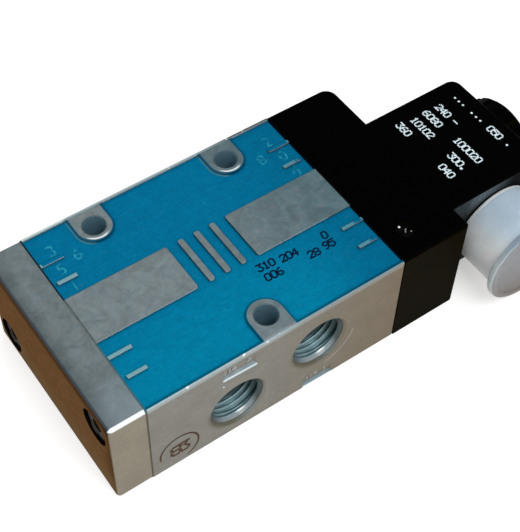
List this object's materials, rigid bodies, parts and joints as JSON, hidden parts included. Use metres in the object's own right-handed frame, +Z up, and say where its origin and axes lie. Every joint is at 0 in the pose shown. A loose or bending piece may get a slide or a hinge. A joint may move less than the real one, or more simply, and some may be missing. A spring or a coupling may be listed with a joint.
{
  "type": "solenoid directional valve",
  "caption": "Pilot-operated 3/2-way spool valve: flat metal body with threaded ports, black solenoid end and a capped round connector.",
  "frame": {"origin": "centre of the valve body's underside", "axes": "+X along the spool towards the solenoid, +Y away from the side with two ports, +Z up out of the marked top face"},
  "size_m": [0.1238, 0.0598, 0.0275],
  "materials": {
    "diecast_metal": "die cast and machined, pale blue-green paint in the top recess",
    "black_rubber": "matt",
    "dark_steel": "blackened",
    "black_plastic": "fine grained moulding",
    "plain_aluminium": "turned",
    "white_plastic": "moulded acetal",
    "spring_steel": "drawn wire",
    "nickel_brass": "nickel plated",
    "bare_brass": "turned",
    "stainless": "drawn stainless",
    "zinc_steel": "zinc plated",
    "copper": "enamelled copper wire",
    "nut_plastic": "fluted moulding",
    "cap_plastic": "translucent polyethylene"
  },
  "bodies": {
    "valve": {"valve_body": "diecast_metal", "end_cap": "diecast_metal", "end_cap_gasket": "black_rubber", "end_cap_screws": "dark_steel", "solenoid_cover": "black_plastic", "cover_gasket": "black_rubber", "cover_screws": "dark_steel", "spool_sleeve": "plain_aluminium", "sleeve_o_rings": "black_rubber", "return_spring": "spring_steel", "override_spring": "spring_steel", "pilot_base": "black_plastic", "pilot_gasket": "black_rubber", "pilot_screws": "dark_steel", "pilot_nozzle": "bare_brass", "armature_tube": "stainless", "tube_o_ring": "black_rubber", "armature_spring": "spring_steel", "fixed_core": "stainless", "coil_housing": "black_plastic", "coil_yoke": "zinc_steel", "coil_bobbin": "white_plastic", "coil_winding": "copper", "coil_nut": "nut_plastic", "nut_seal_ring": "black_rubber", "connector_shell": "nickel_brass", "connector_insert": "black_plastic", "connector_seal": "black_rubber", "connector_pins": "bare_brass"},
    "spool_train": {"spool": "plain_aluminium", "spool_seals": "black_rubber", "pilot_piston": "white_plastic", "piston_seal": "black_rubber"},
    "armature_train": {"armature": "stainless", "armature_seal": "black_rubber"},
    "override": {"override_plunger": "nickel_brass", "override_o_ring": "black_rubber"},
    "cap": {"dust_cap": "cap_plastic"}
  },
  "joints": [
    {"name": "spool_slide", "type": "slide", "parent": "valve", "child": "spool_train", "axis": [-1, 0, 0], "range_m": [0, 0.0045], "stiffness_N_per_m": 1500, "springref_m": -0.004, "deforming": ["return_spring"]},
    {"name": "armature_slide", "type": "slide", "parent": "valve", "child": "armature_train", "axis": [1, 0, 0], "range_m": [0, 0.001], "stiffness_N_per_m": 600, "springref_m": -0.004, "deforming": ["armature_spring"]},
    {"name": "override_push", "type": "slide", "parent": "valve", "child": "override", "axis": [0, 0, -1], "range_m": [0, 0.0015], "stiffness_N_per_m": 800, "springref_m": -0.002, "deforming": ["override_spring"]},
    {"name": "dust_cap_pull", "type": "slide", "parent": "valve", "child": "cap", "axis": [0, -1, 0], "range_m": [0, 0.03]}
  ]
}
